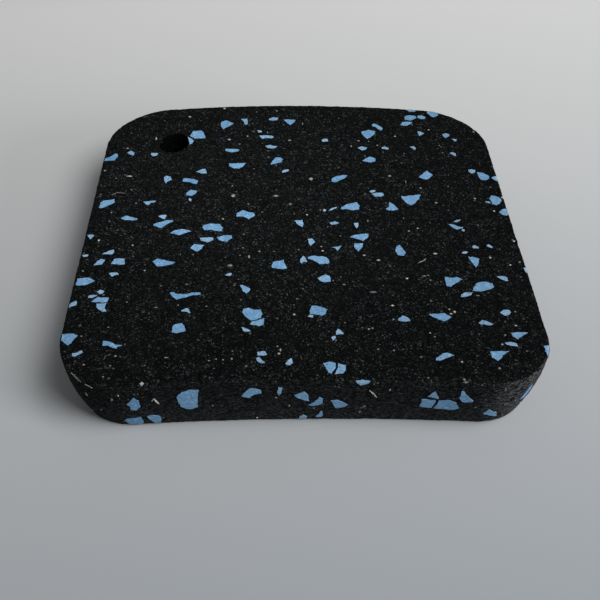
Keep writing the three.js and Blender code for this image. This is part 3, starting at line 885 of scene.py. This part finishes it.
# Crumbs on the top in millimetres: a place, then how far the crumb reaches across and along
PALE_CRUMBS = [
    (-32.1, -51.1, 0.9, 0.9), (30.8, -51.2, 1.2, 0.4), (-39.8, -49.3, 0.5, 0.4), (38.1, -47.7, 0.6, 0.6),
    (-38.8, -46.4, 0.5, 0.5), (-44, -46.1, 0.5, 0.4), (30.9, -45.9, 0.5, 0.5), (-19.5, -45.2, 0.6, 0.3),
    (-18.1, -44.8, 0.4, 0.4), (-16.7, -45, 0.5, 0.3), (-15, -44.7, 0.4, 0.6), (-28, -44.3, 0.9, 0.3),
    (-32.1, -46.4, 0.6, 0.3), (-38.1, -43.8, 0.5, 0.5), (17.6, -42.7, 0.5, 0.5), (-5.6, -43.4, 0.7, 0.6),
    (-5.3, -42.4, 0.4, 0.9), (-5.9, -41.4, 0.5, 0.4), (39.9, -41.2, 0.6, 0.6), (25.6, -37.8, 0.4, 0.4),
    (13, -36.6, 0.5, 0.5), (-40.6, -35.7, 0.5, 0.4), (43.8, -35.8, 0.7, 0.5), (18.4, -33.8, 0.5, 0.5),
    (30.8, -32.2, 0.8, 0.6), (31.6, -31.6, 0.6, 0.8), (30.6, -30.8, 0.5, 0.4), (-2.3, -32.2, 0.7, 0.6),
    (-31.4, -29.9, 0.8, 0.4), (18.6, -29.6, 0.8, 0.5), (-20.8, -29.6, 0.5, 0.4), (-37.7, -28.2, 0.5, 0.4),
    (37.4, -26.6, 0.8, 0.3), (14.9, -25.4, 1.8, 0.7), (8.7, -22.9, 0.6, 0.5), (-15.1, -23, 0.5, 0.4),
    (6.4, -21.6, 0.5, 0.5), (22.7, -21, 0.6, 0.5), (26.6, -20.2, 1.0, 0.3), (27.5, -20, 0.6, 0.4),
    (-48.5, -18.2, 0.5, 0.4), (-35, -18.1, 0.5, 0.4), (-16.2, -16.5, 1.2, 0.8), (46.5, -16.6, 0.5, 0.5),
    (17, -14.8, 1.0, 0.7), (42.4, -14.1, 0.6, 0.5), (-17.4, -13.7, 0.5, 0.4), (-12.1, -13.5, 0.5, 1.2),
    (13.9, -13.1, 0.9, 0.5), (30.1, -12.6, 1.1, 0.6), (-6.5, -11.7, 0.7, 0.5), (-9.8, -11.6, 0.5, 0.5),
    (4.5, -11.5, 0.7, 0.5), (4.3, -10, 0.6, 0.5), (-38.6, -9.4, 0.5, 0.5), (49, -8.2, 0.6, 0.6),
    (-46.5, -7.6, 0.5, 1.0), (25, -4.4, 0.5, 0.5), (27.2, -3.4, 0.5, 0.4), (41.6, -2.3, 0.5, 0.4),
    (-45, -0.7, 0.5, 0.4), (15.7, -0.6, 0.4, 1.0), (-18.5, 0.2, 0.5, 0.5), (24.3, 0.4, 0.4, 0.8),
    (1.4, 1.8, 0.5, 0.5), (-45, 2.7, 0.4, 0.4), (46.5, 3.2, 0.6, 0.6), (5.6, 3.6, 0.9, 1.0),
    (-2.5, 6, 0.9, 1.1), (-39.6, 6.3, 0.6, 0.5), (-12.6, 6, 0.5, 0.5), (32.9, 6.5, 0.8, 0.6),
    (42.7, 8.2, 0.6, 0.6), (49.5, 8.6, 0.6, 0.8), (-6, 9.3, 1.4, 0.8), (-16.4, 9.4, 1.0, 1.4),
    (-41.3, 11.8, 0.5, 0.5), (29.9, 12.5, 0.6, 0.6), (-16.7, 13.4, 0.5, 0.5), (26.5, 15.2, 0.4, 1.2),
    (2.8, 16.4, 1.0, 1.2), (-42.5, 17.5, 1.6, 0.5), (22.7, 17.6, 0.8, 0.6), (-48.9, 19.9, 0.6, 0.5),
    (-4.6, 23.8, 0.6, 0.5), (-7.8, 25.9, 0.7, 0.6), (27.5, 27.6, 0.3, 1.2), (22, 28.3, 0.5, 0.5),
    (-44.4, 29.9, 0.6, 0.5), (13.9, 31, 0.5, 0.6), (20.8, 31.5, 0.4, 0.9), (37.2, 31.5, 0.4, 0.8),
    (-15.4, 32, 0.6, 0.5), (-2.2, 33.8, 1.0, 0.7), (-18.2, 34.1, 1.0, 0.9), (-37.4, 34.5, 0.4, 1.6),
    (-13.4, 35.8, 0.5, 0.6), (25.9, 35.8, 0.6, 0.6), (-8.1, 37.6, 0.5, 0.9), (-11.8, 38.1, 0.8, 0.6),
    (47.4, 38.1, 0.6, 0.8), (35.4, 39, 0.5, 0.5), (1.4, 41.9, 0.4, 1.3), (11.4, 44.7, 0.3, 0.8),
    (-29.3, 45.3, 0.8, 0.7), (-11.1, 47.9, 0.6, 0.6), (-5.6, 48.5, 0.7, 0.6), (-20, 49.7, 0.8, 0.8),
    (16, 33.6, 0.6, 0.5),
]

# Torn cord ends in millimetres, on the top and on the near wall: the thickness, then three points
TOP_CORDS = [
    (0.26, (-46, 9.7), (-44.6, 10.6), (-42.4, 10.4)),
    (0.26, (27.9, -13.9), (27.4, -14.8), (25.7, -15.9)),
    (0.2, (-40.3, -44.8), (-40.1, -43.8), (-39.1, -43.3)),
]
WALL_CORDS = [
    (0.24, (12.2, 12), (13, 11), (14, 9.6)),
    (0.3, (-30.9, 9.9), (-30.4, 10.6), (-30, 10.2)),
    (0.34, (-30.4, 10.6), (-30, 9.6), (-29.6, 8.6)),
    (0.16, (-51.2, 14.6), (-49.7, 14.1), (-48.2, 13.5)),
    (0.06, (-50.2, 14.7), (-48.9, 14.3), (-47.5, 13.8)),
    (0.03, (-46.2, 13.7), (-45.2, 13.6), (-44.1, 13.4)),
]

# The crumbs on the underside and the wall: how many, the corners of their area, and how long they mostly are
UNDERSIDE_CRUMBS = (60, (-43, -45), (43, 44), 0.6)
WALL_CRUMBS = (90, (-58, 1), (342, 14), 0.5)


def lozenge(x, y, across, along):
    return [(x - across / 2, y), (x, y - along / 2), (x + across / 2, y), (x, y + along / 2)]


def cord(thickness, *line):
    """The outline of a cord that tapers at both ends, from three points along its middle."""
    start, middle, end = np.array(line, float)
    run = end - start
    side = np.array([-run[1], run[0]]) / np.linalg.norm(run) * thickness / 2
    return [start, middle - side, end, middle + side]


SCRAP_GREY = (0.12, 0.125, 0.13, 1)
SCRAP_WHITE = (0.62, 0.61, 0.58, 1)
SCRAP_DIRT = (0.02, 0.02, 0.02, 1)


def pale_crumb():
    """White and grey scraps. Each has its own shade, and is dirty with black dust."""
    n = Nodes("Pale crumb")
    place = n.shaken(n.place(), 0.4 * MM, 0.2 * MM)
    dirt = n.step(n.noise(place, 0.5 * MM, 3.0, 0.7), 0.35, 0.7)
    colour = n.blend(n.attribute("tint"), SCRAP_GREY, SCRAP_WHITE)
    colour = n.blend(0.75 * dirt, colour, SCRAP_DIRT)
    return n.finish(**{"Base Color": colour, "Roughness": 0.7 + 0.1 * dirt, "Specular IOR Level": 0.2})


scraps = [(lozenge(*row), top_skin) for row in PALE_CRUMBS]
scraps += [(cord(*row), top_skin) for row in TOP_CORDS]
scraps += [(cord(*row), wall_skin) for row in WALL_CORDS]
scraps += scattered(underside_skin, *UNDERSIDE_CRUMBS, rng)
scraps += scattered(wall_skin, *WALL_CRUMBS, rng)
pale = chips("pale_crumbs", scraps, rng, CRUMB_PROUD, CRUMB_DEPTH)
shade(pale_crumb(), pale)
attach(pale, "root")

# The studio: a pale floor, a large soft light above and to the right, a lower one from the right, both a
# little to the front, and weak light from all round. The floor's colour is painted paler away from the camera
# and to the left, painted light as it would fall from a window.
HALF_FLOOR = 2.0
# Painted light and shade: the floor's colour near the camera and far from it.
FLOOR_NEAR = (0.265, 0.285, 0.305, 1)
FLOOR_FAR = (0.78, 0.78, 0.76, 1)
FADE_BEFORE = 0.11
FADE_RUN = 0.27
FADE_SLANT = 0.22
LAMP_COLOUR = (0.99, 0.99, 1.0)
ROOM_COLOUR = (0.95, 0.98, 1.0, 1)
ROOM_STRENGTH = 0.205

# Each lamp's name, place, width and watts
LAMPS = [
    ("Window", Vector((0.34, -0.23, 0.58)), 0.4, 4.3),
    ("Side_window", Vector((0.69, -0.3, 0.2)), 0.3, 3.2),
]


def pale_floor():
    """A plain floor whose colour fades from near to far, on a slant, as painted light."""
    n = Nodes("Pale floor")
    right, far, _ = n.parts(n.place())
    share = (far + FADE_BEFORE - FADE_SLANT * right) / FADE_RUN
    return n.finish(**{"Base Color": n.blend(share, FLOOR_NEAR, FLOOR_FAR), "Roughness": 0.7})


floor_mesh = bpy.data.meshes.new("Floor")
corners = [(x * HALF_FLOOR, y * HALF_FLOOR, 0) for x, y in ((-1, -1), (1, -1), (1, 1), (-1, 1))]
floor_mesh.from_pydata(corners, [], [(0, 1, 2, 3)])
floor_mesh.materials.append(pale_floor())
floor = bpy.data.objects.new("Floor", floor_mesh)
bpy.context.collection.objects.link(floor)

for name, place, width, watts in LAMPS:
    lamp_data = bpy.data.lights.new(name, "AREA")
    lamp_data.shape = "SQUARE"
    lamp_data.size = width
    lamp_data.energy = watts
    lamp_data.color = LAMP_COLOUR
    lamp = bpy.data.objects.new(name, lamp_data)
    bpy.context.collection.objects.link(lamp)
    lamp.location = place
    lamp.rotation_euler = (-place).to_track_quat("-Z", "Y").to_euler()

world = bpy.data.worlds.new("Room")
bpy.context.scene.world = world
world.use_nodes = True
background = world.node_tree.nodes["Background"]
background.inputs["Color"].default_value = ROOM_COLOUR
background.inputs["Strength"].default_value = ROOM_STRENGTH
bpy.context.scene.view_settings.view_transform = "Standard"

# The camera stands before the near side, a little to the left, and looks down and slightly right.
CAMERA_PLACE = Vector((-6.6, -163.7, 143.2)) * MM
CAMERA_DOWN = math.radians(43.3)
CAMERA_RIGHT = math.radians(2.36)
CAMERA_ROLL = math.radians(1.4)
VIEW_ACROSS = 600
FOCAL_PIXELS = 876
SENSOR = 36
CLIP_START = 0.01

camera_data = bpy.data.cameras.new("Camera")
camera_data.sensor_width = SENSOR
camera_data.lens = FOCAL_PIXELS / VIEW_ACROSS * SENSOR
camera_data.clip_start = CLIP_START
camera = bpy.data.objects.new("Camera", camera_data)
bpy.context.collection.objects.link(camera)
turn = Matrix.Rotation(-CAMERA_RIGHT, 4, "Z") @ Matrix.Rotation(math.pi / 2 - CAMERA_DOWN, 4, "X")
camera.matrix_world = Matrix.Translation(CAMERA_PLACE) @ turn @ Matrix.Rotation(CAMERA_ROLL, 4, "Z")
bpy.context.scene.camera = camera
